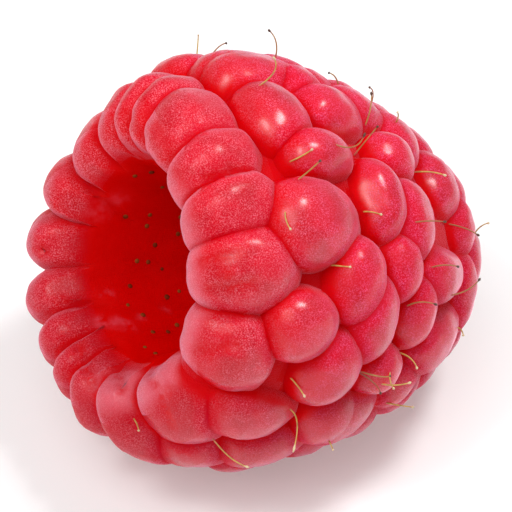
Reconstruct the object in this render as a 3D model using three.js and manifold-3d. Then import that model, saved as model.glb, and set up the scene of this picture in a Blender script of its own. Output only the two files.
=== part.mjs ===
// A picked raspberry lying on its side: about a hundred juicy drupelets fused round the deep
// hollow that the receptacle left, all grown as one piece. Millimetres, +Z up.
//
// The berry is first built round its own axis: +X from the open end to the tip, and a turn
// angle that starts at the top (+Z) and grows towards +Y. It is then leaned over until it
// rests on the drupelets under its belly, which are pressed a little flat.
import * as THREE from "three";
import { mergeVertices } from "three/addons/utils/BufferGeometryUtils.js";
import Module from "manifold-3d";

const wasm = await Module();
wasm.setup();

// Driving dimensions of the berry's outline.
const LENGTH = 21.3; // rim to tip
const BELLY_RADIUS = 10.5;
const BELLY_AT = 7.4; // distance of the widest ring from the rim
const RIM_RADIUS = 7.2; // crest of the rim
const RIM_CURVE = 3.0; // how late the body swells behind the rim
const TIP_CURVE = 1.55; // 2 is an ellipse, less is more conical
const RIM_WAVE = 0.6; // the rim rises and dips twice round, as on a saddle
const RIM_WAVE_TURN = 71; // where it dips
const RIM_WAVE_FADES = 8; // the wave dies out this far behind the rim

// The hollow left by the receptacle.
const HOLLOW_RADIUS = 4.6; // a little way inside the mouth
const HOLLOW_END = 14.5; // distance of its blind end from the rim
const HOLLOW_NARROWS = 0.45; // share of its width lost before the end rounds off
const HOLLOW_ROUNDING = 6; // how suddenly the blind end closes
const HOLLOW_FRONT = -1.0; // the cut starts in front of the rim
const MOUTH_FLARE = 2.1; // extra radius at the mouth
const FLARE_LENGTH = 1.6; // distance in which the flare fades

// How the drupelets sit. Each has a round head towards the tip and a longer, narrower tail
// that dips under the drupelets nearer the rim.
const WALL_SINK = 1.7; // the fused wall under the drupelets' crowns
const CROWN_DEPTH = 2.3; // drupelet centre below its crown
const DRUPELET_FULLNESS = 2.4; // 2 is an ellipsoid, more has fuller shoulders
const TAIL_LENGTH = 1.45; // the tail's length over the head's
const TAIL_NARROWS = 0.3; // share of the width lost at the tail's end
const TAIL_DROPS = 1.3;
const HEAD_RISES = 14; // degrees
const SEED = 7;
const TURN_JITTER = 1.8; // degrees
const ROLL_JITTER = 7; // degrees
const AXIAL_JITTER = 0.14;
const SIZE_JITTER = 0.05;

// The drupelets from the top down one flank, which differ most: each one's distance from the
// rim, turn in degrees, half its width round the berry and the length of its head.
const FLANK = [
  [5.5, 26, 2.2, 1.8],
  [7.25, 20, 2.2, 3.4],
  [5.75, -4, 2.5, 2.0],
  [6.0, -42, 2.4, 2.8],
  [5.0, -74, 2.0, 2.1],
  [3.25, -110, 1.8, 2.5],
  [4.0, -140, 2.6, 2.4],
  [8.5, 12, 1.8, 1.7],
  [9.5, 0, 1.8, 2.4],
  [7.0, -20, 1.5, 2.2],
  [8.5, -60, 2.4, 1.8],
  [7.75, -88, 2.4, 2.0],
  [7.0, -126, 2.1, 2.9],
  [11.75, 4, 1.8, 2.5],
  [12.5, -16, 1.6, 1.8],
  [10.5, -34, 2.4, 1.5],
  [9.75, -72, 2.6, 1.9],
  [10.0, -112, 2.0, 2.4],
  [11.5, -56, 2.0, 1.5],
  [11.5, -92, 1.6, 1.6],
  [11.0, -114, 2.2, 2.7],
  [12.75, -40, 2.4, 2.0],
  [13.25, -72, 2.2, 1.5],
  [14.0, -2, 2.0, 2.0],
  [14.0, -104, 2.0, 1.7],
  [16.75, -16, 2.2, 2.0],
  [15.5, -60, 1.6, 2.8],
  [16.5, -90, 2.0, 3.4],
  [18.0, -34, 2.0, 1.6],
  [18.25, -74, 2.6, 1.8],
];

// The other side's rows and the tip's: how far from the rim, the turn of the first drupelet
// and the step to the next in degrees, how many there are, and the same two sizes.
const ROWS = [
  { at: 5.1, turn: 44, step: 26, count: 7, half: 2.25, head: 2.15 },
  { at: 7.3, turn: 34, step: 26, count: 8, half: 2.35, head: 2.15 },
  { at: 9.4, turn: 28, step: 26, count: 8, half: 2.35, head: 2.15 },
  { at: 11.5, turn: 36, step: 26, count: 8, half: 2.25, head: 2.15 },
  { at: 13.5, turn: 30, step: 25, count: 9, half: 2.15, head: 2.05 },
  { at: 15.4, turn: 28, step: 27, count: 9, half: 2.05, head: 2.05 },
  { at: 17.2, turn: 14, step: 28, count: 9, half: 2.0, head: 2.05 },
  { at: 18.9, turn: 0, step: 36, count: 8, half: 2.05, head: 2.1 },
  { at: 20.3, turn: -50, step: 60, count: 6, half: 2.15, head: 2.0 },
  { at: 21.0, turn: 120, step: 0, count: 1, half: 2.1, head: 2.0 },
];

// The rim's long drupelets wrap over it into the hollow. Each one's outline in the plane of
// the axis is a distance from RIM_PIVOT in each direction, in degrees from straight out of
// the open end (0), with 90 outwards and -90 inwards. Their sections are flatter inside than
// outside, and the fused rim under them has grooves that get shallower towards the hollow.
const RIM_PIVOT = { at: 3.5, radius: 6.87 };
const RIM_OUTLINE = [
  [-180, 2.0],
  [-120, 2.4],
  [-90, 2.5],
  [-45, 2.6],
  [0, 3.25],
  [40, 3.0],
  [90, 2.6],
  [120, 2.2],
  [150, 1.95],
  [180, 1.8],
];
const LOBE_FULLNESS_INSIDE = 2.8;
const LOBE_FULLNESS_OUTSIDE = 2.0;
const RIM_OVERLAP = 1.33; // width of a lobe over the room it has
// Each lobe's turn and room round the rim in degrees, how much fuller it is in front, how
// much longer at its outer end, and the degrees that its inner end trails its outer one. The
// extras set in, are whole, fade and are gone at these directions of the lobe's outline.
const FULLER_AT = [-60, 30, 120, 180];
const LONGER_AT = [60, 120, 150, 180];
const RIM_LOBES = [
  [301, 28, 0, 0.6, 9],
  [321, 23, 0, 0.2, 12],
  [340, 22, 0, -0.1, 9],
  [4, 32, 0, -0.35, 0],
  [24, 18, -0.1, -0.2, 0],
  [38, 16, -0.1, -0.2, 0],
  [53, 21, -0.2, 0, 0],
  [75, 23, -0.2, 0, 0],
  [97, 20, 0.3, 0, 0],
  [118, 22, 0.3, 0, 0],
  [140, 21, 0, 0, 0],
  [159, 19, -0.25, 0, 0],
  [175, 15, -0.25, 0, 0],
  [191, 18, 0.1, 0.2, 0],
  [210, 20, 0.35, 0.7, 0],
  [238, 35, 0, -0.2, 0],
  [273, 29, 0, -0.1, 0],
];
const GROOVE_AT_THROAT = 0.2;
const GROOVE_OUTSIDE = 1.4;

// How it lies.
const LEAN = 22.5; // degrees that the tip dips below level
const PRESSED = 0.4; // depth pressed flat where the lowest drupelets touch

// Facets.
const DRUPELET_DETAIL = 1;
const LOBE_DETAIL = 3;
const TURNED_STEPS = 9;
const RIM_STEP = 22.5; // degrees round the rim's section
const TURNED_SIDES = 24;
const SLOPE_STEP = 0.05; // distance over which the outline's slope is taken
const MERGE_WITHIN = 1e-4; // corners this close are one corner

const radians = THREE.MathUtils.degToRad;
const clamp = THREE.MathUtils.clamp;

// A repeatable stream of numbers from -1 to 1, the same for the same seed.
const STREAM_FACTOR = 16807;
const STREAM_LENGTH = 2147483647;
let streamState = SEED;
function jitter() {
  streamState = (streamState * STREAM_FACTOR) % STREAM_LENGTH;
  return (2 * streamState) / STREAM_LENGTH - 1;
}

// Radius of the berry over its drupelets' crowns, at a distance from the rim.
function outlineRadius(at) {
  if (at < BELLY_AT) {
    const ahead = (BELLY_AT - at) / BELLY_AT;
    return BELLY_RADIUS - (BELLY_RADIUS - RIM_RADIUS) * ahead ** RIM_CURVE;
  }
  const behind = Math.min((at - BELLY_AT) / (LENGTH - BELLY_AT), 1);
  return BELLY_RADIUS * Math.sqrt(1 - behind ** TIP_CURVE);
}

// The outline's outward direction there, as (along the axis, away from the axis).
function outlineNormal(at) {
  const rise = outlineRadius(at + SLOPE_STEP) - outlineRadius(at - SLOPE_STEP);
  return new THREE.Vector2(-rise, 2 * SLOPE_STEP).normalize();
}

function hollowRadius(at) {
  const share = Math.max(at / HOLLOW_END, 0);
  const narrowed = HOLLOW_RADIUS * (1 - HOLLOW_NARROWS * share ** 2);
  const straight = narrowed * Math.sqrt(1 - Math.min(share, 1) ** HOLLOW_ROUNDING);
  return straight + MOUTH_FLARE * Math.exp(-at / FLARE_LENGTH);
}

// Distance from RIM_PIVOT to a lobe's outline, eased between the listed directions.
function lobeReach(angle) {
  const last = RIM_OUTLINE.findIndex(([listed]) => listed >= angle);
  const [a0, r0] = RIM_OUTLINE[Math.max(last - 1, 0)];
  const [a1, r1] = RIM_OUTLINE[last];
  const share = a1 > a0 ? (angle - a0) / (a1 - a0) : 0;
  return r0 + (r1 - r0) * share * share * (3 - 2 * share);
}

// A point of the berry from its distance along the axis, radius and turn in radians.
function berryPoint(at, radius, turn) {
  const fade = Math.max(1 - at / RIM_WAVE_FADES, 0) * (radius / RIM_RADIUS) ** 2;
  const wave = RIM_WAVE * fade * Math.cos(2 * (turn - radians(RIM_WAVE_TURN)));
  return new THREE.Vector3(at + wave, radius * Math.sin(turn), radius * Math.cos(turn));
}

// A direction of the berry: along the axis, and away from it at a turn.
function berryDirection(along, away, turn) {
  return new THREE.Vector3(along, away * Math.sin(turn), away * Math.cos(turn));
}

// A closed geometry as a solid that can be joined and cut.
function solidOf(geometry) {
  const bare = geometry.clone();
  bare.deleteAttribute("normal");
  bare.deleteAttribute("uv");
  const merged = mergeVertices(bare, MERGE_WITHIN);
  return new wasm.Manifold(
    new wasm.Mesh({
      numProp: 3,
      vertProperties: new Float32Array(merged.attributes.position.array),
      triVerts: new Uint32Array(merged.index.array),
    }),
  );
}

// A ball whose every point is moved by place(unit vector).
function shapedBall(detail, place) {
  const ball = new THREE.IcosahedronGeometry(1, detail);
  const points = ball.attributes.position;
  for (let i = 0; i < points.count; i++) {
    const moved = place(new THREE.Vector3().fromBufferAttribute(points, i));
    points.setXYZ(i, moved.x, moved.y, moved.z);
  }
  return solidOf(ball);
}

// Two directions turned together by an angle in degrees, the first towards the second.
function tilted(first, second, degrees) {
  const cosine = Math.cos(radians(degrees));
  const sine = Math.sin(radians(degrees));
  return [
    first.clone().multiplyScalar(cosine).addScaledVector(second, sine),
    second.clone().multiplyScalar(cosine).addScaledVector(first, -sine),
  ];
}

// A ball's point moved out so that its shoulders are fuller than a sphere's.
function fullBallPoint(unit, fullness) {
  const powers = unit.toArray().map((part) => Math.abs(part) ** fullness);
  const size = (powers[0] + powers[1] + powers[2]) ** (1 / fullness);
  return unit.clone().divideScalar(size);
}

// A drupelet with its crown on the outline: the ball's z points out of the berry, its x
// round the berry and its y towards the tip.
function drupelet(at, degrees, half, head, roll) {
  const turn = radians(degrees);
  const normal = outlineNormal(at);
  const out = berryDirection(normal.x, normal.y, turn);
  const centre = berryPoint(at, outlineRadius(at), turn).addScaledVector(out, -CROWN_DEPTH);
  const level = berryDirection(0, 1, turn + Math.PI / 2);
  const [roundwards, rolled] = tilted(level, new THREE.Vector3().crossVectors(out, level), roll);
  const [tipwards, away] = tilted(rolled, out, HEAD_RISES);
  return shapedBall(DRUPELET_DETAIL, (unit) => {
    const ball = fullBallPoint(unit, DRUPELET_FULLNESS);
    const behind = clamp(-ball.y, 0, 1);
    const length = behind > 0 ? head * TAIL_LENGTH : head;
    return centre
      .clone()
      .addScaledVector(roundwards, ball.x * (1 - TAIL_NARROWS * behind) * half)
      .addScaledVector(tipwards, ball.y * length)
      .addScaledVector(away, ball.z * CROWN_DEPTH - TAIL_DROPS * behind ** 2);
  });
}

function rowOfDrupelets(row) {
  return Array.from({ length: row.count }, (_, i) => {
    const at = row.at + AXIAL_JITTER * jitter();
    const degrees = row.turn + row.step * i + TURN_JITTER * jitter();
    const half = row.half * (1 + SIZE_JITTER * jitter());
    const head = row.head * (1 + SIZE_JITTER * jitter());
    return drupelet(at, degrees, half, head, ROLL_JITTER * jitter());
  });
}

// How much of an extra is there in one direction of a lobe's outline.
function shareOf(angle, [starts, whole, fades, gone]) {
  const rising = clamp((angle - starts) / (whole - starts), 0, 1);
  const falling = clamp((gone - angle) / (gone - fades), 0, 1);
  return rising * falling;
}

// A rim lobe: a ball whose section follows RIM_OUTLINE, with its z bent round the berry.
function rimLobe([degrees, room, fuller, longer, trails]) {
  const turn = radians(degrees);
  const halfWidth = radians(room / 2) * RIM_OVERLAP;
  return shapedBall(LOBE_DETAIL, (unit) => {
    const level = Math.max(Math.hypot(unit.x, unit.y), MERGE_WITHIN);
    const outside = (unit.y / level + 1) / 2;
    const fullness = THREE.MathUtils.lerp(LOBE_FULLNESS_INSIDE, LOBE_FULLNESS_OUTSIDE, outside);
    const section = (1 - Math.min(Math.abs(unit.z), 1) ** fullness) ** (1 / fullness);
    const angle = THREE.MathUtils.radToDeg(Math.atan2(unit.y, -unit.x));
    const extra = fuller * shareOf(angle, FULLER_AT) + longer * shareOf(angle, LONGER_AT);
    const reach = (lobeReach(angle) + extra) * section;
    const swept = (radians(trails / 2) * section * unit.y) / level;
    return berryPoint(
      RIM_PIVOT.at + (reach * unit.x) / level,
      RIM_PIVOT.radius + (reach * unit.y) / level,
      turn + swept - halfWidth * unit.z,
    );
  });
}

// A closed solid of revolution about the berry's axis, from points as (radius, at).
function turnedSolid(profile) {
  const turned = new THREE.LatheGeometry(profile, TURNED_SIDES);
  turned.rotateZ(-Math.PI / 2);
  const points = turned.attributes.position;
  for (let i = 0; i < points.count; i++) {
    const [at, y, z] = [points.getX(i), points.getY(i), points.getZ(i)];
    const placed = berryPoint(at, Math.hypot(y, z), Math.atan2(y, z));
    points.setXYZ(i, placed.x, placed.y, placed.z);
  }
  return solidOf(turned);
}

// Distances along the axis that bunch up towards the round end.
function stepsBetween(front, back) {
  return Array.from({ length: TURNED_STEPS + 1 }, (_, i) => {
    return front + (back - front) * Math.sin((Math.PI / 2) * (i / TURNED_STEPS));
  });
}

// The fused flesh that the drupelets sink into, rounded over at the rim.
function core() {
  const profile = [new THREE.Vector2(0, RIM_PIVOT.at)];
  for (let angle = -90; angle < 90; angle += RIM_STEP) {
    const outside = (angle + 90) / 180;
    const groove = GROOVE_AT_THROAT + (GROOVE_OUTSIDE - GROOVE_AT_THROAT) * outside;
    const reach = lobeReach(angle) - groove;
    const radius = RIM_PIVOT.radius + reach * Math.sin(radians(angle));
    profile.push(new THREE.Vector2(radius, RIM_PIVOT.at - reach * Math.cos(radians(angle))));
  }
  const back = LENGTH - WALL_SINK;
  for (const at of stepsBetween(RIM_PIVOT.at, back)) {
    const radius = outlineRadius(at) - WALL_SINK * outlineNormal(at).y;
    profile.push(new THREE.Vector2(at < back ? radius : 0, at));
  }
  return turnedSolid(profile);
}

function hollow() {
  const sides = stepsBetween(HOLLOW_FRONT, HOLLOW_END);
  const profile = sides.map((at) => new THREE.Vector2(at < HOLLOW_END ? hollowRadius(at) : 0, at));
  return turnedSolid([new THREE.Vector2(0, sides[0]), ...profile]);
}

// Everything below the surface that the berry lies on.
function belowSurface() {
  const block = new THREE.BoxGeometry(3 * LENGTH, 3 * LENGTH, LENGTH);
  block.translate(0, 0, -LENGTH / 2);
  return solidOf(block);
}

function geometryOf(solid) {
  const mesh = solid.getMesh();
  return new THREE.BufferGeometry()
    .setAttribute("position", new THREE.BufferAttribute(mesh.vertProperties, 3))
    .setIndex(new THREE.BufferAttribute(mesh.triVerts, 1));
}

const grown = [
  ...RIM_LOBES.map(rimLobe),
  ...FLANK.map(([at, degrees, half, head]) => drupelet(at, degrees, half, head, 0)),
  ...ROWS.flatMap(rowOfDrupelets),
];
const upright = grown.reduce((body, piece) => body.add(piece), core()).subtract(hollow());

const laid = geometryOf(upright).rotateY(radians(LEAN));
laid.computeBoundingBox();
laid.translate(0, 0, -laid.boundingBox.min.z - PRESSED);
const berry = geometryOf(solidOf(laid).subtract(belowSurface()));
berry.computeBoundingBox();
const middle = berry.boundingBox.getCenter(new THREE.Vector3());
berry.translate(-middle.x, -middle.y, 0);
berry.computeVertexNormals();

const flesh = new THREE.MeshStandardMaterial({
  color: 0xd8233f,
  roughness: 0.45,
  metalness: 0,
});
const raspberry = new THREE.Mesh(berry, flesh);
raspberry.name = "raspberry";

const part = new THREE.Group();
part.add(raspberry);
export default part;
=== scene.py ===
import math

import bmesh
import bpy
import numpy as np
from mathutils import Matrix, Vector, bvhtree, kdtree, noise


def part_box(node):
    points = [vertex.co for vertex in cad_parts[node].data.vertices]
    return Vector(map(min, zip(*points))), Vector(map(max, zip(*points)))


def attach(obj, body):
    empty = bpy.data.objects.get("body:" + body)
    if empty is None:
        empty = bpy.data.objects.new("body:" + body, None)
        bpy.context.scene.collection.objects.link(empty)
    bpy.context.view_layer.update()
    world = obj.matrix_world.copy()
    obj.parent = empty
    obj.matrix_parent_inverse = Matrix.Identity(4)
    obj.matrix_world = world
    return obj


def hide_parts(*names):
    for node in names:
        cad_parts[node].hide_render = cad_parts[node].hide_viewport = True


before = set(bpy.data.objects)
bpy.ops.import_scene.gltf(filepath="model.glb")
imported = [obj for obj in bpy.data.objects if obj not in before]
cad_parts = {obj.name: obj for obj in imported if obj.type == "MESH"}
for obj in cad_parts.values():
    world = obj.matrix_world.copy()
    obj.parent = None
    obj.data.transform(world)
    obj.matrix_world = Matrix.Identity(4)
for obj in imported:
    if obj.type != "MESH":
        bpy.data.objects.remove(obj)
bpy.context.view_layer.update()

# ---------------------------------------------------------------------------------------
# The rim's long drupelets. Each is a soft bag of pulp that wraps over the open rim into the
# hollow, fused to the next as a broad band with a narrow groove between. A place is a distance
# from the rim, in millimetres, and a turn round the berry's own axis, which is 0 at the top.
MM = 0.001
RIM_RADIUS = 7.2
RIM_WAVE = 0.6
RIM_WAVE_TURN = 71
RIM_WAVE_FADES = 8
FULLER_AT = (-60, 30, 120, 180)
LONGER_AT = (60, 120, 150, 180)
RIM_LOBES = [  # turn and room round the rim, fuller in front, longer outside, how far it trails
    (301, 28, 0, 0.6, 9), (321, 23, 0, 0.2, 12), (340, 22, 0, -0.1, 9), (4, 32, 0, -0.35, 0),
    (24, 18, -0.1, -0.2, 0), (38, 16, -0.1, -0.2, 0), (53, 21, -0.2, 0, 0), (75, 23, -0.2, 0, 0),
    (97, 20, 0.3, 0, 0), (118, 22, 0.3, 0, 0), (140, 21, 0, 0, 0), (159, 19, -0.25, 0, 0),
    (175, 15, -0.25, 0, 0), (191, 18, 0.1, 0.2, 0), (210, 20, 0.35, 0.7, 0), (238, 35, 0, -0.2, 0),
    (273, 29, 0, -0.1, 0),
]
RIM_OVERLAP = 1.33
RIM_PIVOT_AT = 3.5
RIM_PIVOT_RADIUS = 6.87
RIM_DIRECTIONS = [-180, -120, -90, -45, 0, 40, 90, 120, 150, 180]  # seen from the pivot
RIM_REACHES = [2.0, 2.4, 2.5, 2.6, 3.25, 3.0, 2.6, 2.2, 1.95, 1.8]
BALL_FINENESS = 18
EVENLY_ROUND = 2
NEARLY_NOTHING = 1e-9
LOBE_FULLNESS_INSIDE = 2.8
LOBE_FULLNESS_OUTSIDE = 2.0


def rim_wave(at, radius, turn):
    fade = np.clip(1 - at / RIM_WAVE_FADES, 0, None) * (radius / RIM_RADIUS) ** 2
    return RIM_WAVE * fade * np.cos(2 * (turn - math.radians(RIM_WAVE_TURN)))


def berry_point(at, radius, turn):
    along = at + rim_wave(at, radius, turn)
    return np.stack([along, radius * np.sin(turn), radius * np.cos(turn)], -1)


def full_ball(cuts, fullness):
    """A unit ball whose shoulders are fuller than a sphere's, as points and faces."""
    shell = bmesh.new()
    bmesh.ops.create_cube(shell, size=2)
    bmesh.ops.subdivide_edges(shell, edges=shell.edges[:], cuts=cuts, use_grid_fill=True)
    points = np.tan(np.array([corner.co for corner in shell.verts]) * math.pi / 4)
    faces = [[corner.index for corner in face.verts] for face in shell.faces]
    shell.free()
    size = (np.abs(points) ** fullness).sum(1) ** (1 / fullness)
    return points / size[:, None], faces


def eased(share):
    """A share that starts and ends gently, kept between 0 and 1."""
    share = np.clip(share, 0, 1)
    return share * share * (3 - 2 * share)


def lobe_reach(angle):
    reach = np.zeros_like(angle)
    for i in range(len(RIM_DIRECTIONS) - 1):
        first, last = RIM_DIRECTIONS[i], RIM_DIRECTIONS[i + 1]
        share = eased((angle - first) / (last - first))
        inside = (angle >= first) & (angle <= last)
        step = RIM_REACHES[i + 1] - RIM_REACHES[i]
        reach = np.where(inside, RIM_REACHES[i] + step * share, reach)
    return reach


def solid(name, points, faces):
    mesh = bpy.data.meshes.new(name)
    mesh.from_pydata(points * MM, [], faces)
    mesh.update()
    return bpy.data.objects.new(name, mesh)


lobe_ball, ball_faces = full_ball(BALL_FINENESS, EVENLY_ROUND)
grown = []


def lobe_section(ball):
    """The ball's z is kept and its section filled out, so that a band is flat across."""
    z = np.clip(np.abs(ball[:, 2]), 0, 1)
    had = np.maximum(np.hypot(ball[:, 0], ball[:, 1]), NEARLY_NOTHING)
    outwards = np.clip(ball[:, 1] / had, -1, 1)
    fuller_outside = LOBE_FULLNESS_OUTSIDE - LOBE_FULLNESS_INSIDE
    fullness = LOBE_FULLNESS_INSIDE + fuller_outside * (outwards + 1) / 2
    wanted = (1 - z**fullness) ** (1 / fullness)
    return ball[:, 0] / had * wanted, ball[:, 1] / had * wanted


def share_of(angle, extra_at):
    """How much of an extra there is in each direction of a lobe's outline."""
    starts, whole, fades, gone = extra_at
    return np.clip((angle - starts) / (whole - starts), 0, 1) * np.clip((gone - angle) / (gone - fades), 0, 1)


lobe_x, lobe_y = lobe_section(lobe_ball)
lobe_angle = np.degrees(np.arctan2(lobe_y, -lobe_x))
fuller_share = share_of(lobe_angle, FULLER_AT)
longer_share = share_of(lobe_angle, LONGER_AT)
for turn_degrees, width_degrees, fuller, longer, trails in RIM_LOBES:
    turn = math.radians(turn_degrees)
    half_width = math.radians(width_degrees / 2) * RIM_OVERLAP
    reach = lobe_reach(lobe_angle) + fuller * fuller_share + longer * longer_share
    points = berry_point(
        RIM_PIVOT_AT + reach * lobe_x,
        RIM_PIVOT_RADIUS + reach * lobe_y,
        turn + math.radians(trails / 2) * lobe_y - half_width * lobe_ball[:, 2],
    )
    grown.append(solid(f"lobe_{len(grown)}", points, ball_faces))

# ---------------------------------------------------------------------------------------
# The drupelets behind the rim. Each is a juicy bag round one seed, grown into its neighbours
# by its sides, with a full head and a tail that narrows and sinks towards the rim. Together
# they swell to the belly and close at the tip, one flank placed one by one, the rest in rows.
LENGTH = 21.3
BELLY_RADIUS = 10.5
BELLY_AT = 7.4
RIM_CURVE = 3.0
TIP_CURVE = 1.55
SLOPE_STEP = 0.05
DRUPELET_FULLNESS = 2.4
CROWN_DEPTH = 2.3
TAIL_LENGTH = 1.45
TAIL_NARROWS = 0.3
TAIL_DROPS = 1.3
HEAD_RISES = 14
ROLL_JITTER = 7
FLANK = [  # distance from the rim, turn, half the width round the berry, length of the head
    (5.5, 26, 2.2, 1.8), (7.25, 20, 2.2, 3.4), (5.75, -4, 2.5, 2.0), (6.0, -42, 2.4, 2.8),
    (5.0, -74, 2.0, 2.1), (3.25, -110, 1.8, 2.5), (4.0, -140, 2.6, 2.4), (8.5, 12, 1.8, 1.7),
    (9.5, 0, 1.8, 2.4), (7.0, -20, 1.5, 2.2), (8.5, -60, 2.4, 1.8), (7.75, -88, 2.4, 2.0),
    (7.0, -126, 2.1, 2.9), (11.75, 4, 1.8, 2.5), (12.5, -16, 1.6, 1.8), (10.5, -34, 2.4, 1.5),
    (9.75, -72, 2.6, 1.9), (10.0, -112, 2.0, 2.4), (11.5, -56, 2.0, 1.5), (11.5, -92, 1.6, 1.6),
    (11.0, -114, 2.2, 2.7), (12.75, -40, 2.4, 2.0), (13.25, -72, 2.2, 1.5), (14.0, -2, 2.0, 2.0),
    (14.0, -104, 2.0, 1.7), (16.75, -16, 2.2, 2.0), (15.5, -60, 1.6, 2.8), (16.5, -90, 2.0, 3.4),
    (18.0, -34, 2.0, 1.6), (18.25, -74, 2.6, 1.8),
]
ROWS = [  # distance from the rim, first turn, step and count, then the same two sizes
    (5.1, 44, 26, 7, 2.25, 2.15),
    (7.3, 34, 26, 8, 2.35, 2.15),
    (9.4, 28, 26, 8, 2.35, 2.15),
    (11.5, 36, 26, 8, 2.25, 2.15),
    (13.5, 30, 25, 9, 2.15, 2.05),
    (15.4, 28, 27, 9, 2.05, 2.05),
    (17.2, 14, 28, 9, 2, 2.05),
    (18.9, 0, 36, 8, 2.05, 2.1),
    (20.3, -50, 60, 6, 2.15, 2),
    (21.0, 120, 0, 1, 2.1, 2.0),
]
SEED = 7
STREAM_FACTOR = 16807
STREAM_LENGTH = 2147483647
TURN_JITTER = 1.8
AXIAL_JITTER = 0.14
SIZE_JITTER = 0.05

stream_state = SEED


def jitter():
    """The next number of a fixed random stream, from -1 to 1."""
    global stream_state
    stream_state = stream_state * STREAM_FACTOR % STREAM_LENGTH
    return 2 * stream_state / STREAM_LENGTH - 1


drupelets = [(*placed, 0) for placed in FLANK]
for row_at, first_turn, step, count, round_width, along_width in ROWS:
    for i in range(count):
        drupelets.append((
            row_at + AXIAL_JITTER * jitter(),
            first_turn + step * i + TURN_JITTER * jitter(),
            round_width * (1 + SIZE_JITTER * jitter()),
            along_width * (1 + SIZE_JITTER * jitter()),
            ROLL_JITTER * jitter(),
        ))


def outline_radius(at):
    ahead = np.clip((BELLY_AT - at) / BELLY_AT, 0, None)
    behind = np.clip((at - BELLY_AT) / (LENGTH - BELLY_AT), 0, 1)
    front = BELLY_RADIUS - (BELLY_RADIUS - RIM_RADIUS) * ahead**RIM_CURVE
    back = BELLY_RADIUS * np.sqrt(1 - behind**TIP_CURVE)
    return np.where(np.asarray(at) < BELLY_AT, front, back)


def outline_normal(at):
    rise = outline_radius(at + SLOPE_STEP) - outline_radius(at - SLOPE_STEP)
    normal = np.array([-rise, 2 * SLOPE_STEP])
    return normal / np.linalg.norm(normal)


def berry_direction(along, away, turn):
    return np.array([along, away * math.sin(turn), away * math.cos(turn)])


def tilted(first, second, degrees):
    """Two directions turned together, the first towards the second."""
    angle = math.radians(degrees)
    return (
        first * math.cos(angle) + second * math.sin(angle),
        second * math.cos(angle) - first * math.sin(angle),
    )


drupelet_ball, _ = full_ball(BALL_FINENESS, DRUPELET_FULLNESS)
behind = np.clip(-drupelet_ball[:, 1], 0, 1)
narrowed = drupelet_ball[:, 0] * (1 - TAIL_NARROWS * behind)
trailed = np.where(behind > 0, TAIL_LENGTH, 1) * drupelet_ball[:, 1]
height = drupelet_ball[:, 2] * CROWN_DEPTH - TAIL_DROPS * behind**2
for at, turn_degrees, round_width, along_width, roll in drupelets:
    turn = math.radians(turn_degrees)
    slope = outline_normal(at)
    away = berry_direction(slope[0], slope[1], turn)
    centre = berry_point(at, float(outline_radius(at)), turn) - CROWN_DEPTH * away
    roundwards = berry_direction(0, 1, turn + math.pi / 2)
    tipwards = np.cross(away, roundwards)
    roundwards, tipwards = tilted(roundwards, tipwards, roll)
    tipwards, away = tilted(tipwards, away, HEAD_RISES)
    shape = np.stack([narrowed * round_width, trailed * along_width, height], 1)
    points = centre + shape @ np.stack([roundwards, tipwards, away])
    grown.append(solid(f"drupelet_{len(grown)}", points, ball_faces))

# ---------------------------------------------------------------------------------------
# The fused flesh that the drupelets sink into, and the hollow that the white receptacle
# left when the berry was picked: a cone with a flared mouth and a rounded blind end. Both
# are turned round the berry's axis.
WALL_SINK = 1.7
HOLLOW_RADIUS = 4.6
HOLLOW_END = 14.5
HOLLOW_NARROWS = 0.45
HOLLOW_ROUNDING = 6
MOUTH_FLARE = 2.1
FLARE_LENGTH = 1.6
HOLLOW_FRONT = -1.0
GROOVE_AT_THROAT = 0.2
GROOVE_OUTSIDE = 1.4
TURNED_STEPS = 60
TURNED_SIDES = 120
RIM_STEP = 5


def hollow_radius(at):
    share = np.clip(at / HOLLOW_END, 0, 1)
    straight = HOLLOW_RADIUS * (1 - HOLLOW_NARROWS * share**2) * np.sqrt(1 - share**HOLLOW_ROUNDING)
    return straight + MOUTH_FLARE * np.exp(-at / FLARE_LENGTH)


def turned_solid(name, profile):
    """A closed solid of revolution from (radius, at) points, the first and last on the axis."""
    turns = np.linspace(0, 2 * math.pi, TURNED_SIDES, endpoint=False)
    rings = [berry_point(at, radius, turns) for radius, at in profile[1:-1]]
    ends = [berry_point(at, np.float64(0), np.float64(0)) for _, at in (profile[0], profile[-1])]
    points = np.concatenate([*rings, np.array(ends)])
    n = TURNED_SIDES
    first, last = len(points) - 2, len(points) - 1
    faces = []
    for j in range(n):
        k = (j + 1) % n
        faces.append([first, j, k])
        for ring in range(len(rings) - 1):
            a, b = ring * n, (ring + 1) * n
            faces.append([a + j, b + j, b + k, a + k])
        b = (len(rings) - 1) * n
        faces.append([last, b + k, b + j])
    return solid(name, points, faces)


def steps_between(front, back):
    shares = np.linspace(0, 1, TURNED_STEPS + 1)
    return front + (back - front) * np.sin(math.pi / 2 * shares)


core_profile = [(0, RIM_PIVOT_AT)]
for angle in np.arange(-90, 90, RIM_STEP):
    outside = (angle + 90) / 180
    groove = GROOVE_AT_THROAT + (GROOVE_OUTSIDE - GROOVE_AT_THROAT) * outside
    reach = float(lobe_reach(np.array([float(angle)]))[0]) - groove
    bearing = math.radians(angle)
    across, along = RIM_PIVOT_RADIUS + reach * math.sin(bearing), RIM_PIVOT_AT - reach * math.cos(bearing)
    core_profile.append((across, along))
for at in steps_between(RIM_PIVOT_AT, LENGTH - WALL_SINK)[:-1]:
    core_profile.append((float(outline_radius(at)) - WALL_SINK * outline_normal(at)[1], at))
core_profile.append((0, LENGTH - WALL_SINK))

hollow_profile = [(0, HOLLOW_FRONT)]
for at in steps_between(HOLLOW_FRONT, HOLLOW_END)[:-1]:
    hollow_profile.append((float(hollow_radius(at)), at))
hollow_profile.append((0, HOLLOW_END))

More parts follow.
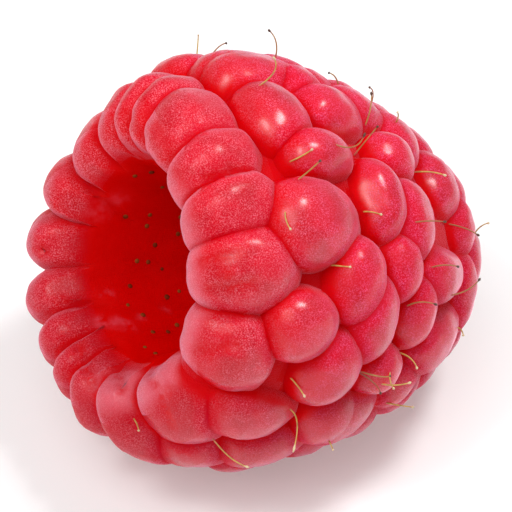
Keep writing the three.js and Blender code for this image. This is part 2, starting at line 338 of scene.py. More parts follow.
# ---------------------------------------------------------------------------------------
# Joining. Everything is one piece of fruit, leaned over until it lies on the drupelets
# under its belly, which its weight presses a little flat.
LEAN = 22.5
PRESSED = 0.4
BLOCK_HALF = 40
BLOCK_DEPTH = 20


def joined(base, others, operation):
    group = bpy.data.collections.new("joining")
    bpy.context.scene.collection.children.link(group)
    for other in others:
        group.objects.link(other)
    bpy.context.scene.collection.objects.link(base)
    cut = base.modifiers.new("join", "BOOLEAN")
    cut.operation = operation
    cut.solver = "MANIFOLD"
    cut.operand_type = "COLLECTION"
    cut.collection = group
    mesh = bpy.data.meshes.new_from_object(base.evaluated_get(bpy.context.evaluated_depsgraph_get()))
    for old in [base, *others]:
        bpy.data.objects.remove(old)
    bpy.data.collections.remove(group)
    return bpy.data.objects.new("joined", mesh)


body = joined(turned_solid("core", core_profile), grown, "UNION")
body = joined(body, [turned_solid("hollow", hollow_profile)], "DIFFERENCE")

lean = Matrix.Rotation(math.radians(LEAN), 4, "Y")
body.data.transform(lean)
lowest = min(corner.co.z for corner in body.data.vertices)
rise = -lowest - PRESSED * MM
body.data.transform(Matrix.Translation((0, 0, rise)))

block_sides = (-BLOCK_HALF, BLOCK_HALF)
block = np.array([[x, y, z] for x in block_sides for y in block_sides for z in (-BLOCK_DEPTH, 0)], float)
block_faces = [[0, 1, 3, 2], [4, 6, 7, 5], [0, 4, 5, 1], [2, 3, 7, 6], [0, 2, 6, 4], [1, 5, 7, 3]]
body = joined(body, [solid("under", block, block_faces)], "DIFFERENCE")

cad_low, cad_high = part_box("raspberry")
corners = np.array([corner.co for corner in body.data.vertices])
middle = (corners.min(0) + corners.max(0)) / 2
cad_middle = (np.array(cad_low) + np.array(cad_high)) / 2
shift = Vector((cad_middle[0] - middle[0], cad_middle[1] - middle[1], 0))
body.data.transform(Matrix.Translation(shift))
laid = Matrix.Translation(shift + Vector((0, 0, rise))) @ lean

berry = bpy.data.objects.new("berry", body.data)
bpy.data.objects.remove(body)
bpy.context.scene.collection.objects.link(berry)

# ---------------------------------------------------------------------------------------
# Where the skin is creased or hidden. Its colour goes by the distance from the nearest
# groove, the depth below the crowns, how far inside the hollow or near its lip a spot is,
# how low it lies, and how far it faces the tip rather than the rim. The depth below the
# crowns drives a painted red glow in the gaps, the thin near lip a painted paler glow, and
# the height painted shade towards the bottom.
CREASE_ANGLE = 25
LOW_REACH = 17.0
CREASE_REACH = 1.2
SUNK_FROM = 0.75
SUNK_TO = 1.45
LINING_DEPTH = 1.2
INSIDE_FROM = 0.9
INSIDE_TO = 3.3
LIP_ANGLE = -15
LIP_SPREAD = 55
THIN_FROM = 0.25
THIN_SPREAD = 6
REDDER_RIM = 0.45
PALER_TIP = 0.45
PALER_STEP = 0.08

shell = bmesh.new()
shell.from_mesh(berry.data)
shell.normal_update()
grooved = set()
for edge in shell.edges:
    if edge.is_manifold and not edge.is_convex and edge.calc_face_angle() > math.radians(CREASE_ANGLE):
        grooved.update(corner.index for corner in edge.verts)
shell.free()
grooves = kdtree.KDTree(len(grooved))
for index in sorted(grooved):
    grooves.insert(berry.data.vertices[index].co, index)
grooves.balance()
crease = np.array([grooves.find(corner.co)[2] for corner in berry.data.vertices]) / MM


def keep_fields(made, fields):
    """Numbers kept at every corner of a mesh, for its colours."""
    for name, values in fields.items():
        kept = made.data.attributes.new(name, "FLOAT", "POINT")
        kept.data.foreach_set("value", np.asarray(values, np.float32))


upright = np.array(laid.inverted())
corners = np.array([corner.co for corner in berry.data.vertices])
normals = np.array([corner.normal for corner in berry.data.vertices])
standing = (corners @ upright[:3, :3].T + upright[:3, 3]) / MM
facing = normals @ np.array(laid.to_3x3())
radius = np.hypot(standing[:, 1], standing[:, 2])
along = np.clip(standing[:, 0], SLOPE_STEP, LENGTH - SLOPE_STEP)
wall = np.clip(standing[:, 0], HOLLOW_FRONT, HOLLOW_END)
lining_share = np.clip(1 - (radius - hollow_radius(wall)) / LINING_DEPTH, 0, 1) * (wall < HOLLOW_END)
inner = lining_share * eased((standing[:, 0] - INSIDE_FROM) / (INSIDE_TO - INSIDE_FROM))

bearing = np.degrees(np.arctan2(radius - RIM_PIVOT_RADIUS, RIM_PIVOT_AT - standing[:, 0]))
from_pivot = np.hypot(radius - RIM_PIVOT_RADIUS, standing[:, 0] - RIM_PIVOT_AT)
wrapped = standing[:, 0] < RIM_PIVOT_AT
# The depth below the crowns, where a red glow is painted into the gaps.
sunk = np.where(wrapped, lobe_reach(bearing) - from_pivot, outline_radius(along) - radius)
lip = eased(1 - np.abs(bearing - LIP_ANGLE) / LIP_SPREAD) * wrapped
# The thin part of the near lip, where a paler glow is painted.
thin_lip_glow = lip * eased(THIN_FROM - standing[:, 1] / THIN_SPREAD)

rise_ahead = outline_radius(along - SLOPE_STEP) - outline_radius(along + SLOPE_STEP)
slope = np.stack([rise_ahead, np.full_like(along, 2 * SLOPE_STEP)], 1)
slope /= np.linalg.norm(slope, axis=1)[:, None]
outwards = (facing[:, 1] * standing[:, 1] + facing[:, 2] * standing[:, 2]) / np.maximum(radius, SLOPE_STEP)
tipward = facing[:, 0] * slope[:, 1] - outwards * slope[:, 0]
tipward += np.clip((standing[:, 0] - BELLY_AT) * PALER_STEP, -REDDER_RIM, PALER_TIP)

keep_fields(berry, {
    "groove": np.clip(crease / CREASE_REACH, 0, 1),
    "sunk": np.clip((sunk - SUNK_FROM) / (SUNK_TO - SUNK_FROM), 0, 1),
    "inside": inner,
    "lip": lip,
    "thin_lip_glow": thin_lip_glow,
    "onward": standing[:, 0] / LENGTH,
    "tipward": (tipward + 1) / 2,
    # How low a spot lies, for painted shade towards the bottom.
    "low": eased(1 - corners[:, 2] / MM / LOW_REACH),
})

# ---------------------------------------------------------------------------------------
# The skin is never quite even. Every drupelet is slightly lumpy, some are folded or dimpled,
# the wall of the hollow is ridged, and pale streaks of painted sheen lie on it. Places on the
# near side are steps of a twentieth of a millimetre, across and down.
SMOOTH_BELOW = 35
UNEVEN = 0.06
UNEVEN_SIZE = 1.5
WRINKLED = 0.035
WRINKLE_SIZE = 0.6
RIDGE_COUNT = 3.0
RIDGE_CHANGES = 0.12
RIDGE_HEIGHT = 0.35
AZIMUTH = -27.55
ELEVATION = 41.85
DISTANCE = 0.25
AIM = Vector((-0.000548, -0.000063, 0.010055))
STEP = 0.05 * MM
MIDDLE = 256
FOLD_PIECES = 4
FOLD_BARE = 0.85
FOLDS = [  # across and down at both ends, half width, depth
    (79, 345, 92, 384, 0.50, 0.22),
    (113, 342, 122, 388, 0.50, 0.20),
    (150, 372, 172, 425, 0.50, 0.12),
    (58, 300, 100, 306, 0.45, 0.18),
    (124, 112, 146, 142, 0.50, 0.09),
    (143, 102, 160, 132, 0.50, 0.08),
    (198, 262, 236, 252, 0.50, 0.12),
    (210, 290, 255, 283, 0.50, 0.16),
    (196, 350, 236, 345, 0.50, 0.14),
    (205, 178, 245, 170, 0.50, 0.14),
    (88, 190, 130, 222, 0.45, 0.18),
]
DIMPLES = [  # across, down, radius, depth and how bare; one with no depth is only bare
    (42, 250, 0.50, 0.36, 0.8),
    (232, 166, 0.50, 0.22, 0.7),
    (290, 160, 0.80, 0.06, 0.0),
    (325, 250, 0.70, 0.05, 0.0),
    (226, 276, 0.80, 0.00, 0.8),
    (250, 284, 0.60, 0.00, 0.75),
    (208, 352, 0.75, 0.00, 0.8),
    (228, 344, 0.65, 0.00, 0.8),
    (168, 392, 0.80, 0.00, 0.7),
    (218, 226, 0.70, 0.00, 0.5),
]
# Pale streaks of painted sheen on the wet wall of the hollow.
SHEEN_STREAKS = [  # across, down, radius, how pale
    (105, 293, 0.45, 0.55),
    (100, 322, 0.60, 0.50),
    (112, 324, 0.60, 0.60),
    (127, 328, 0.55, 0.60),
    (138, 320, 0.40, 0.40),
    (163, 311, 0.35, 0.25),
    (96, 210, 0.90, 0.30),
    (120, 200, 0.80, 0.20),
]

azimuth, elevation = math.radians(AZIMUTH), math.radians(ELEVATION)
back = Vector((
    math.sin(azimuth) * math.cos(elevation),
    -math.cos(azimuth) * math.cos(elevation),
    math.sin(elevation),
))
right = Vector((math.cos(azimuth), math.sin(azimuth), 0))
up = back.cross(right)
viewer = AIM + back * DISTANCE


def aimed(across, down):
    return AIM + right * (across - MIDDLE) * STEP + up * (MIDDLE - down) * STEP


def near_spot(surface, across, down):
    """The spot of the surface that is met at a place on the near side, and its outward normal."""
    return surface.ray_cast(viewer, (aimed(across, down) - viewer).normalized())[:2]


def surface_of(made):
    places = [corner.co for corner in made.data.vertices]
    return bvhtree.BVHTree.FromPolygons(places, [face.vertices for face in made.data.polygons])


def away_from(line):
    """How far each corner is from a line of straight pieces, in millimetres."""
    nearest = np.full(len(corners), np.inf)
    for first, last in zip(line, line[1:]):
        run = np.array(last - first)
        share = np.clip((corners - np.array(first)) @ run / (run @ run), 0, 1)
        gap = np.linalg.norm(corners - np.array(first) - share[:, None] * run, axis=1)
        nearest = np.minimum(nearest, gap / MM)
    return nearest


even_skin = surface_of(berry)
push = np.array([
    UNEVEN * noise.noise(corner.co / MM / UNEVEN_SIZE) + WRINKLED * noise.noise(corner.co / MM / WRINKLE_SIZE)
    for corner in berry.data.vertices
])
dimpled, painted_sheen = np.zeros(len(corners)), np.zeros(len(corners))
for across0, down0, across1, down1, half_width, depth in FOLDS:
    line = []
    for i in range(FOLD_PIECES + 1):
        share = i / FOLD_PIECES
        place = across0 + (across1 - across0) * share, down0 + (down1 - down0) * share
        line.append(near_spot(even_skin, *place)[0])
    share = eased(1 - away_from(line) / half_width)
    push -= depth * share
    dimpled = np.maximum(dimpled, FOLD_BARE * share)
for i, (at, across, high) in enumerate(standing):
    if inner[i] > 0:
        turn = math.atan2(across, high)
        place = Vector((RIDGE_COUNT * math.sin(turn), RIDGE_COUNT * math.cos(turn), at * RIDGE_CHANGES))
        push[i] += RIDGE_HEIGHT * inner[i] * noise.noise(place)
for across, down, reach, depth, bareness in DIMPLES:
    spot = near_spot(even_skin, across, down)[0]
    share = eased(1 - np.linalg.norm(corners - np.array(spot), axis=1) / MM / reach)
    push -= depth * share
    dimpled = np.maximum(dimpled, bareness * share)
# Spots of painted sheen.
for across, down, reach, paleness in SHEEN_STREAKS:
    spot = near_spot(even_skin, across, down)[0]
    share = eased(1 - np.linalg.norm(corners - np.array(spot), axis=1) / MM / reach)
    painted_sheen = np.maximum(painted_sheen, paleness * share)
keep_fields(berry, {"dimpled": dimpled, "painted_sheen": painted_sheen})
push *= eased(corners[:, 2] / MM)
berry.data.vertices.foreach_set("co", (corners + normals * push[:, None] * MM).ravel())
berry.data.update()
berry.data.polygons.foreach_set("use_smooth", [True] * len(berry.data.polygons))
berry.data.set_sharp_from_angle(angle=math.radians(SMOOTH_BELOW))
skin_surface = surface_of(berry)

# ---------------------------------------------------------------------------------------
# The skin: thin, translucent and bright red over red juice, with a fine pale down on the
# tip side of each drupelet that catches the light at the edges. The rim sides are bare, the
# down thins out in the mouth, and the hollow has a wet dark lining instead. The colour also
# paints light: a red glow in creases and gaps, a pale sheen line along the edges, a paler
# glow on the thin near lip, sheen streaks in the hollow and shade towards the bottom.
skin = bpy.data.materials.new("raspberry_skin")
skin.use_nodes = True


def node(kind, **settings):
    made = nodes.new(kind)
    for name, value in settings.items():
        setattr(made, name, value)
    return made


def field(name):
    return node("ShaderNodeAttribute", attribute_name=name).outputs["Fac"]


def given(socket, value):
    if isinstance(value, (tuple, float, int)):
        socket.default_value = value
    else:
        links.new(value, socket)


def set_sockets(made, **values):
    """Plain values straight on a node's sockets, with _ for each space in a socket's name."""
    for name, value in values.items():
        made.inputs[name.replace("_", " ")].default_value = value


def mixed(amount, first, second):
    mix = node("ShaderNodeMix", data_type="RGBA")
    for socket, value in zip((mix.inputs[0], mix.inputs[6], mix.inputs[7]), (amount, first, second)):
        given(socket, value)
    return mix.outputs[2]


def ranged(value, low, high, to_low=0.0, to_high=1.0, smooth=True):
    span = node("ShaderNodeMapRange", interpolation_type="SMOOTHSTEP" if smooth else "LINEAR")
    given(span.inputs["Value"], value)
    set_sockets(span, From_Min=low, From_Max=high, To_Min=to_low, To_Max=to_high)
    return span.outputs["Result"]


def worked(operation, *values):
    """Any number of values put together by one sum, two at a time."""
    result = values[0]
    for value in values[1:]:
        maths = node("ShaderNodeMath", operation=operation)
        given(maths.inputs[0], result)
        given(maths.inputs[1], value)
        result = maths.outputs[0]
    return result


def cloud(scale, detail, roughness=0.5):
    made = node("ShaderNodeTexNoise")
    set_sockets(made, Scale=scale, Detail=detail, Roughness=roughness)
    links.new(node("ShaderNodeTexCoord").outputs["Object"], made.inputs["Vector"])
    return made.outputs["Fac"]


CROWN_RED = (0.66, 0.004, 0.024, 1)
BLUSH_RED = (0.54, 0.001, 0.012, 1)
RIM_SIDE_RED = (0.66, 0.0, 0.004, 1)
LOW_SHADE_RED = (0.42, 0.0, 0.014, 1)
BARE_AND_CREASE_GLOW_RED = (0.66, 0.0, 0.003, 1)
MOUTH_RED = (0.69, 0.0, 0.0, 1)
HOLLOW_RED = (0.69, 0.0, 0.0, 1)
DOWN_PINK = (0.86, 0.14, 0.34, 1)
RIM_PINK = (0.86, 0.25, 0.32, 1)
SHEEN_STREAK_PINK = (0.75, 0.13, 0.20, 1)
LOW_SHADE_SHARE = 0.8
DOWN_SHARE = 0.74
SHEEN_EDGE_SHARE = 0.6
GLOSS_SHARE = 0.9
PORE_SHARE = 1.2
CREASE_LOOK = 0.6

# Clouds: how many to the metre, how detailed and how rough.
GRAIN_CLOUD = (15500, 2, 0.65)
STREAK_CLOUD = (3200, 3)
PORE_CLOUD = (2200, 2)
SHEEN_STREAK_CLOUD = (1500, 2)
PATCH_CLOUD = (1300, 2)
BLUSH_CLOUD = (420, 2)

# Ranges: as a value goes from the first number to the second, the result goes from 0 to 1, or
# from the third number to the fourth.
GRAINY = (0.46, 0.68)
STREAKED = (0.36, 0.60, 0.35, 1.0)
SHEEN_STREAKY = (0.35, 0.7)
PATCHY = (0.36, 0.64, 0.55, 1.0)
BLUSHING = (0.42, 0.62)
NOT_INSIDE = (0.0, 0.5, 1.0, 0.0)
IN_HOLLOW = (0.05, 0.6)
PAST_MOUTH = (0.1, 0.32)
PAST_RIM = (0.08, 0.40)
CREASE_GLOW = (0.54, 0.95, 1.0, 0.0)
GAP_GLOW = (0.0, 0.6)
ON_HEAD = (0.02, 0.36)
OFF_HEAD = (0.0, 1.0, 1.0, 0.0)
RIM_SIDE_OFF_GROOVE = (0.2, 1.0, 1.0, 0.55)
BLUSH_OFF_GROOVE = (0.35, 0.9)
DOWN_OFF_GROOVE = (0.0, 0.24)
DOWN_ON_HEAD = (0.0, 1.0, 0.50, 0.95)
DOWN_ON_LIP = (0.2, 1.0, 0.0, 1.1)
DOWN_LOW_SHADE = (0.0, 0.8, 1.15, 0.65)
SHEEN_EDGE_STARTS = (0.88, 0.94)
SHEEN_EDGE_ENDS = (0.96, 0.99, 1.0, 0.0)
SHEEN_EDGE_ON_HEAD = (0.55, 0.8)
SHEEN_EDGE_ON_LIP = (0.3, 0.9)
THIN_LIP_GLOW = (0.3, 0.85, 0.0, 0.48)
GLOSS_OFF_GROOVE = (0.25, 0.8)
GLOSS_PAST_RIM = (0.02, 0.18, 0.3, 1.0)

nodes, links = skin.node_tree.nodes, skin.node_tree.links
shader = nodes["Principled BSDF"]
groove, tip_side, low_shade = field("groove"), field("tipward"), field("low")
# Painted crease glow: where the ambient occlusion finds a crease, and where the skin lies sunk in a gap, the
# colour turns a saturated red that stands in for light glowing through and between the drupelets. Dimpled and
# folded spots are bare of down and take the same red.
shelter = node("ShaderNodeAmbientOcclusion", samples=8)
set_sockets(shelter, Distance=CREASE_LOOK * MM)
openness = shelter.outputs["AO"]
outside = ranged(field("inside"), *NOT_INSIDE)
crease_glow = ranged(openness, *CREASE_GLOW)
streaky = worked("MULTIPLY", field("dimpled"), ranged(cloud(*STREAK_CLOUD), *STREAKED))
bare_and_crease_glow = worked("MAXIMUM", ranged(field("sunk"), *GAP_GLOW), crease_glow, streaky)
head = ranged(tip_side, *ON_HEAD)
# The rim-facing side of each drupelet turns a deeper red, most of all next to its groove.
rim_side_red = worked("MULTIPLY", ranged(head, *OFF_HEAD), ranged(groove, *RIM_SIDE_OFF_GROOVE))

blush = worked("MULTIPLY", ranged(cloud(*BLUSH_CLOUD), *BLUSHING), ranged(groove, *BLUSH_OFF_GROOVE))
colour = mixed(blush, CROWN_RED, BLUSH_RED)
colour = mixed(rim_side_red, colour, RIM_SIDE_RED)
# Painted shade: the red deepens towards the bottom, where less light falls.
colour = mixed(worked("MULTIPLY", low_shade, LOW_SHADE_SHARE), colour, LOW_SHADE_RED)
grain = ranged(cloud(*GRAIN_CLOUD), *GRAINY, smooth=False)
# The pale down: grainy, thinner on the rim side, left out by the grooves, which widens the painted crease
# glow, and fading towards the bottom as painted shade.
down = worked(
    "MULTIPLY",
    grain,
    worked("MAXIMUM", ranged(head, *DOWN_ON_HEAD), ranged(field("lip"), *DOWN_ON_LIP)),
    ranged(groove, *DOWN_OFF_GROOVE),
    ranged(cloud(*PATCH_CLOUD), *PATCHY),
    ranged(low_shade, *DOWN_LOW_SHADE),
)
pale = mixed(ranged(field("onward"), *PAST_RIM), RIM_PINK, DOWN_PINK)
colour = mixed(worked("MULTIPLY", down, outside, DOWN_SHARE), colour, pale)
# Painted sheen: a pale line of down colour along the edges of the crowns and the lip, found from the ambient
# occlusion, stands in for the light that the down catches there.
edge = worked(
    "MULTIPLY",
    ranged(openness, *SHEEN_EDGE_STARTS),
    ranged(openness, *SHEEN_EDGE_ENDS),
    worked("MAXIMUM", ranged(tip_side, *SHEEN_EDGE_ON_HEAD), ranged(field("lip"), *SHEEN_EDGE_ON_LIP)),
    outside,
    SHEEN_EDGE_SHARE,
)
colour = mixed(edge, colour, pale)
# Painted light: the thin near lip turns paler pink, standing in for sheen and light shining through it.
colour = mixed(ranged(field("thin_lip_glow"), *THIN_LIP_GLOW), colour, RIM_PINK)
colour = mixed(bare_and_crease_glow, colour, BARE_AND_CREASE_GLOW_RED)
hollow_red = mixed(ranged(field("onward"), *PAST_MOUTH), MOUTH_RED, HOLLOW_RED)
colour = mixed(ranged(field("inside"), *IN_HOLLOW), colour, hollow_red)
# Painted sheen: pale streaks on the wet wall of the hollow stand in for its reflections.
sheen_streaked = worked("MULTIPLY", field("painted_sheen"), ranged(cloud(*SHEEN_STREAK_CLOUD), *SHEEN_STREAKY))
colour = mixed(sheen_streaked, colour, SHEEN_STREAK_PINK)
links.new(colour, shader.inputs["Base Color"])

bump = node("ShaderNodeBump")
set_sockets(bump, Strength=0.5, Distance=0.04 * MM)
links.new(worked("ADD", grain, worked("MULTIPLY", cloud(*PORE_CLOUD), PORE_SHARE)), bump.inputs["Height"])
links.new(bump.outputs["Normal"], shader.inputs["Normal"])
gloss = worked(
    "MULTIPLY",
    ranged(groove, *GLOSS_OFF_GROOVE),
    ranged(field("onward"), *GLOSS_PAST_RIM),
    outside,
    GLOSS_SHARE,
)
links.new(gloss, shader.inputs["Coat Weight"])
set_sockets(
    shader,
    Roughness=0.42,
    Specular_IOR_Level=0.04,
    Subsurface_Weight=0.8,
    Subsurface_Radius=(1.0, 0.02, 0.025),
    Subsurface_Scale=2.5 * MM,
    Coat_Roughness=0.27,
    Coat_Tint=(1.0, 0.85, 0.92, 1),
    Sheen_Weight=0.7,
    Sheen_Roughness=0.36,
    Sheen_Tint=(1.0, 0.45, 0.62, 1),
)


def other_skin(name, **values):
    """A copy of the skin in which some sockets have plain values instead."""
    made = skin.copy()
    made.name = name
    copied = made.node_tree.nodes["Principled BSDF"]
    for socket in values:
        for link in copied.inputs[socket.replace("_", " ")].links:
            made.node_tree.links.remove(link)
    set_sockets(copied, **values)
    return made


lining = other_skin("raspberry_lining", Sheen_Weight=0.0, Coat_Weight=0.0, Subsurface_Scale=4 * MM)
bare_skin = other_skin("raspberry_bare_skin", Sheen_Weight=0.0)
thin_down = other_skin("raspberry_thin_down", Sheen_Weight=0.35)

LINED_ABOVE = 0.97
BARE_ABOVE = 0.5
THIN_DOWN_ABOVE = 0.18
BARE_BELOW = 0.40
LIP_ABOVE = 0.3


def finish_of(face):
    around = list(face.vertices)
    inwards = inner[around].mean()
    if inwards > LINED_ABOVE:
        return lining
    if inwards > BARE_ABOVE:
        return bare_skin
    if inwards > THIN_DOWN_ABOVE:
        return thin_down
    if (tipward[around].mean() + 1) / 2 < BARE_BELOW and lip[around].mean() < LIP_ABOVE:
        return bare_skin
    return skin


finishes = [skin, lining, bare_skin, thin_down]
berry.data.materials.clear()
for finish in finishes:
    berry.data.materials.append(finish)
for face in berry.data.polygons:
    face.material_index = finishes.index(finish_of(face))
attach(berry, "root")
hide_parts("raspberry")

# ---------------------------------------------------------------------------------------
# The dried styles. Many drupelets still carry the thread of the flower that they grew from:
# a dry fibre, golden to brown and curled, with a small knob at its end, rooted in the skin.
# Each is a thin tube through three places: its root, its middle and its tip.
STYLES = [  # across and down of the root, the middle and the tip
    (255, 86, 274, 72, 273, 57), (275, 57, 276, 42, 268, 30), (339, 84, 335, 77, 328, 73),
    (365, 130, 370, 110, 371, 92), (333, 141, 353, 147, 365, 133), (354, 156, 368, 138, 378, 126),
    (286, 163, 300, 157, 313, 149), (296, 179, 310, 170, 321, 160), (285, 209, 286, 220, 291, 230),
    (361, 212, 371, 212, 382, 215), (414, 222, 430, 221, 446, 222), (446, 223, 464, 228, 479, 236),
    (475, 235, 480, 227, 489, 223), (414, 173, 430, 172, 446, 176), (431, 146, 441, 140, 448, 129),
    (407, 121, 413, 131, 421, 138), (329, 267, 340, 266, 351, 267), (430, 267, 445, 265, 459, 267),
    (404, 308, 420, 302, 437, 305), (450, 297, 467, 290, 480, 278), (287, 377, 297, 385, 305, 397),
    (290, 409, 297, 422, 293, 452), (212, 439, 230, 457, 249, 467), (379, 385, 395, 385, 411, 382),
    (392, 371, 390, 380, 394, 389), (382, 404, 398, 405, 414, 407), (399, 351, 410, 358, 417, 369),
    (133, 418, 137, 424, 139, 431), (329, 441, 331, 445, 333, 450), (458, 327, 461, 330, 463, 336),
    (247, 49, 246, 44, 244, 39), (396, 122, 398, 117, 397, 112),
]
STYLE_THICKNESS = 0.042
KNOB_THICKNESS = 0.045
KNOB_AT = 0.95
KNOB_LENGTH = 0.035
STYLE_SIDES = 6
STYLE_SHARES = [*np.linspace(0, 0.86, 11), 0.90, 0.925, 0.95, 0.975, 1.0]
STYLE_TAPER = 0.35
TINT_SPAN = 2.6
ROOT_SUNK = 0.12
TIP_STANDS = 0.45
CLEARANCE = 0.09
HIDDEN_STYLES = 34
FACES_AWAY = 0.15
LOWEST_STYLE = 4.0
STYLE_REACH = (0.9, 1.7)
HIDDEN_MIDDLE = 12.5
HIDDEN_HALF = 7.5
MIDDLE_OUT = 0.6
MIDDLE_ASIDE = 0.35
TIP_OUT = 0.9


def standing_clear(point):
    """A point brought towards the viewer until it clears the skin."""
    spot = skin_surface.ray_cast(viewer, (point - viewer).normalized())[0]
    if spot is None or (point - spot).dot(back) > CLEARANCE * MM:
        return point
    return spot + back * CLEARANCE * MM


def curve_of(places):
    """A smooth line through three places, the first one rooted in the skin."""
    first, middle, last = (np.array(place) for place in places)
    line = []
    for share in STYLE_SHARES:
        through = first * (1 - share) * (1 - 2 * share) + middle * 4 * share * (1 - share)
        line.append(Vector(through + last * share * (2 * share - 1)))
    return line


def thread(line, tint):
    """A thin tube along a line with a knob at its end, added to the threads."""
    start = len(thread_points)
    side = (line[1] - line[0]).orthogonal().normalized()
    for i, (share, centre) in enumerate(zip(STYLE_SHARES, line)):
        ahead = (line[min(i + 1, len(line) - 1)] - line[max(i - 1, 0)]).normalized()
        side = (side - ahead * side.dot(ahead)).normalized()
        across = ahead.cross(side)
        knob = math.exp(-(((share - KNOB_AT) / KNOB_LENGTH) ** 2))
        thick = (STYLE_THICKNESS * (1 - STYLE_TAPER * share) + KNOB_THICKNESS * knob) * MM
        for j in range(STYLE_SIDES):
            turn = 2 * math.pi * j / STYLE_SIDES
            thread_points.append(centre + (side * math.cos(turn) + across * math.sin(turn)) * thick)
            thread_shares.append(share)
            thread_tints.append(tint)
    for i in range(len(line) - 1):
        for j in range(STYLE_SIDES):
            a, b = start + i * STYLE_SIDES + j, start + i * STYLE_SIDES + (j + 1) % STYLE_SIDES
            thread_faces.append([a, b, b + STYLE_SIDES, a + STYLE_SIDES])
    thread_faces.append([start + j for j in reversed(range(STYLE_SIDES))])
    thread_faces.append([start + (len(line) - 1) * STYLE_SIDES + j for j in range(STYLE_SIDES)])


def small_piece(name, points, faces):
    """A piece of many small closed forms, from points in metres."""
    made = bpy.data.objects.new(name, bpy.data.meshes.new(name))
    made.data.from_pydata(points, [], faces)
    made.data.update()
    made.data.polygons.foreach_set("use_smooth", [True] * len(made.data.polygons))
    bpy.context.scene.collection.objects.link(made)
    return made


thread_points, thread_faces, thread_shares, thread_tints = [], [], [], []
for root_across, root_down, *further in STYLES:
    root, out = near_spot(skin_surface, root_across, root_down)
    if root is None:
        continue
    ends = []
    for across, down in (further[:2], further[2:]):
        towards = (aimed(across, down) - viewer).normalized()
        reach = (root - viewer).dot(back) / towards.dot(back)
        ends.append(viewer + towards * reach + back * TIP_STANDS * MM * (len(ends) + 1) / 2)
    line = curve_of((root - out * ROOT_SUNK * MM, *ends))
    line = [line[0], line[1], *(standing_clear(point) for point in line[2:])]
    thread(line, (jitter() + 1) / TINT_SPAN)
for _ in range(HIDDEN_STYLES):
    at = HIDDEN_MIDDLE + HIDDEN_HALF * jitter()
    turn = math.pi * jitter()
    lean_share, bend = jitter(), jitter()
    length = STYLE_REACH[0] + (STYLE_REACH[1] - STYLE_REACH[0]) * (jitter() + 1) / 2
    axis_spot = laid @ Vector(berry_point(at, 0.0, turn) * MM)
    outward = laid.to_3x3() @ Vector(berry_direction(0, 1, turn))
    root, out = skin_surface.ray_cast(axis_spot + outward * LENGTH * MM, -outward)[:2]
    if root is None or root.z < LOWEST_STYLE * MM or out.dot(back) > FACES_AWAY:
        continue
    sideways = out.orthogonal().normalized()
    sideways.rotate(Matrix.Rotation(math.pi * bend, 3, out))
    middle = root + (out * MIDDLE_OUT + sideways * MIDDLE_ASIDE * lean_share) * length * MM
    tip = root + (out * TIP_OUT + sideways * lean_share) * length * MM
    thread(curve_of((root - out * ROOT_SUNK * MM, middle, tip)), (lean_share + 1) / 2)

styles = small_piece("styles", thread_points, thread_faces)
keep_fields(styles, {"drawn_out": thread_shares, "tint": thread_tints})

STRAW = (0.56, 0.40, 0.10, 1)
BROWN = (0.30, 0.10, 0.05, 1)
ROSE = (0.62, 0.14, 0.13, 1)
KNOB_DARK = (0.10, 0.05, 0.035, 1)
KNOB_PALE = (0.66, 0.55, 0.33, 1)
SPOT_CLOUD = (3000, 2)
BROWNER = (0.35, 0.9)
ROSY_ROOT = (0.0, 0.25, 0.8, 0.0)
SPOTTED = (0.4, 0.65, 0.0, 0.45)
DARK_KNOB = (0.45, 0.55)
AT_KNOB = (0.86, 0.92)
dry = bpy.data.materials.new("dry_style")
dry.use_nodes = True
nodes, links = dry.node_tree.nodes, dry.node_tree.links
tint, drawn = field("tint"), field("drawn_out")
thread_colour = mixed(ranged(tint, *BROWNER), STRAW, BROWN)
thread_colour = mixed(ranged(drawn, *ROSY_ROOT), thread_colour, ROSE)
spots = ranged(cloud(*SPOT_CLOUD), *SPOTTED)
thread_colour = mixed(spots, thread_colour, BROWN)
knob_colour = mixed(ranged(tint, *DARK_KNOB), KNOB_PALE, KNOB_DARK)
thread_colour = mixed(ranged(drawn, *AT_KNOB), thread_colour, knob_colour)
dry_shader = nodes["Principled BSDF"]
links.new(thread_colour, dry_shader.inputs["Base Color"])
set_sockets(
    dry_shader,
    Roughness=0.5,
    Specular_IOR_Level=0.35,
    Subsurface_Weight=0.3,
    Subsurface_Radius=(1.0, 0.6, 0.3),
    Subsurface_Scale=0.08 * MM,
)
styles.data.materials.append(dry)
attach(styles, "root")

# ---------------------------------------------------------------------------------------
# The scars in the hollow. Each drupelet was fed by a thread from the receptacle, which tore
# when the berry was picked and left a tiny dry brown stub, half sunk in the wall.
NEAR_SCARS = [  # across and down
    (135, 176), (150, 215), (147, 226), (155, 245), (137, 261), (162, 269), (130, 286), (167, 297),
    (143, 315), (177, 325), (153, 332), (145, 347), (178, 234),
]
SCAR_ROWS = [3.6, 5.2, 6.8, 8.4, 10.0, 11.4]
SCARS_IN_ROW = 7
SCAR_WIDTH = 0.12
SCAR_HEIGHT = 0.05
SCAR_VARIES = 0.25
ROW_VARIES = 0.3
TURN_VARIES = 0.2
SCAR_FINENESS = 2
scar_ball, scar_ball_faces = full_ball(SCAR_FINENESS, EVENLY_ROUND)
scar_points, scar_faces = [], []


def scar(spot, out, size):
    """A small flattened stub, half sunk in the wall."""
    side = out.orthogonal().normalized()
    frame_of_scar = np.stack([side * SCAR_WIDTH, out.cross(side) * SCAR_WIDTH, out * SCAR_HEIGHT])
    start = len(scar_points)
    scar_points.extend(np.array(spot) + scar_ball @ frame_of_scar * size * MM)
    scar_faces.extend([start + corner for corner in face] for face in scar_ball_faces)


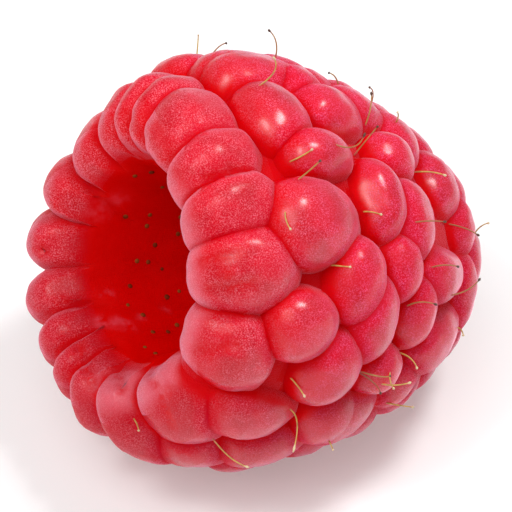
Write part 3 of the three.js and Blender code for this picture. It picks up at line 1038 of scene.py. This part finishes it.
for across, down in NEAR_SCARS:
    spot, out = near_spot(skin_surface, across, down)
    scar(spot, out, 1 + SCAR_VARIES * jitter())
for row, at in enumerate(SCAR_ROWS):
    for i in range(SCARS_IN_ROW):
        turn = math.tau * (i + row / 2 + TURN_VARIES * jitter()) / SCARS_IN_ROW
        axis_spot = laid @ Vector(berry_point(at + ROW_VARIES * jitter(), 0.0, turn) * MM)
        outward = laid.to_3x3() @ Vector(berry_direction(0, 1, turn))
        spot, out = skin_surface.ray_cast(axis_spot, outward)[:2]
        scar(spot, out, 1 + SCAR_VARIES * jitter())
scars = small_piece("scars", scar_points, scar_faces)

TORN_BROWN = (0.17, 0.018, 0.004, 1)
TORN_GREEN = (0.25, 0.06, 0.010, 1)
TORN_CLOUD = (600, 1)
GREENER = (0.4, 0.6)
torn = bpy.data.materials.new("torn_stub")
torn.use_nodes = True
nodes, links = torn.node_tree.nodes, torn.node_tree.links
torn_shader = nodes["Principled BSDF"]
torn_colour = mixed(ranged(cloud(*TORN_CLOUD), *GREENER), TORN_BROWN, TORN_GREEN)
links.new(torn_colour, torn_shader.inputs["Base Color"])
set_sockets(torn_shader, Roughness=0.7, Specular_IOR_Level=0.08)
scars.data.materials.append(torn)
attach(scars, "root")

# ---------------------------------------------------------------------------------------
# The table: a sheet of plain pale paper that the berry lies on. It glows a little, so that
# it stays nearly white round the shadow.
FLOOR_HALF = 0.6
FLOOR_GLOW = 0.26
PAPER_WHITE = (0.75, 0.75, 0.75, 1)
floor = bpy.data.objects.new("floor", bpy.data.meshes.new("floor"))
floor_corners = [(x * FLOOR_HALF, y * FLOOR_HALF, 0) for x, y in ((-1, -1), (1, -1), (1, 1), (-1, 1))]
floor.data.from_pydata(floor_corners, [], [(0, 1, 2, 3)])
paper = bpy.data.materials.new("pale_paper")
paper.use_nodes = True
set_sockets(
    paper.node_tree.nodes["Principled BSDF"],
    Base_Color=PAPER_WHITE,
    Roughness=0.8,
    Emission_Color=(1, 1, 1, 1),
    Emission_Strength=FLOOR_GLOW,
)
floor.data.materials.append(paper)
bpy.context.scene.collection.objects.link(floor)

# ---------------------------------------------------------------------------------------
# The camera. It stands a quarter of a metre away with a long lens, and looks down on the
# side of the berry with the open end to the left.
FRAMED = 0.0256
SENSOR = 36
lens = bpy.data.cameras.new("camera")
lens.sensor_width = SENSOR
lens.lens = SENSOR * DISTANCE / FRAMED
lens.clip_start = MM
camera = bpy.data.objects.new("camera", lens)
camera.matrix_world = Matrix.Translation(viewer) @ Matrix((right, up, back)).transposed().to_4x4()
bpy.context.scene.collection.objects.link(camera)
bpy.context.scene.camera = camera

# ---------------------------------------------------------------------------------------
# Plain soft studio light: a bright room, a broad light overhead, and two smaller ones above
# and beside that make the small highlights.
ROOM_LIGHT = 0.30
LIGHTS = [  # name, direction as the camera sees it, distance, size, watts
    ("overhead", (-0.28, 0.34, 0.90), 0.50, 0.40, 1.23),
    ("key", (0.37, 0.72, 0.55), 0.22, 0.052, 0.27),
    ("beside", (-0.40, 0.42, 0.80), 0.25, 0.06, 0.13),
]
bpy.context.scene.view_settings.view_transform = "Standard"
room = bpy.data.worlds.new("room")
room.use_nodes = True
set_sockets(room.node_tree.nodes["Background"], Color=(1, 1, 1, 1), Strength=ROOM_LIGHT)
bpy.context.scene.world = room
for name, towards, away, size, watts in LIGHTS:
    lamp = bpy.data.lights.new(name, "AREA")
    lamp.size = size
    lamp.energy = watts
    held = bpy.data.objects.new(name, lamp)
    direction = (right * towards[0] + up * towards[1] + back * towards[2]).normalized()
    held.location = AIM + direction * away
    held.rotation_euler = direction.to_track_quat("Z", "Y").to_euler()
    bpy.context.scene.collection.objects.link(held)
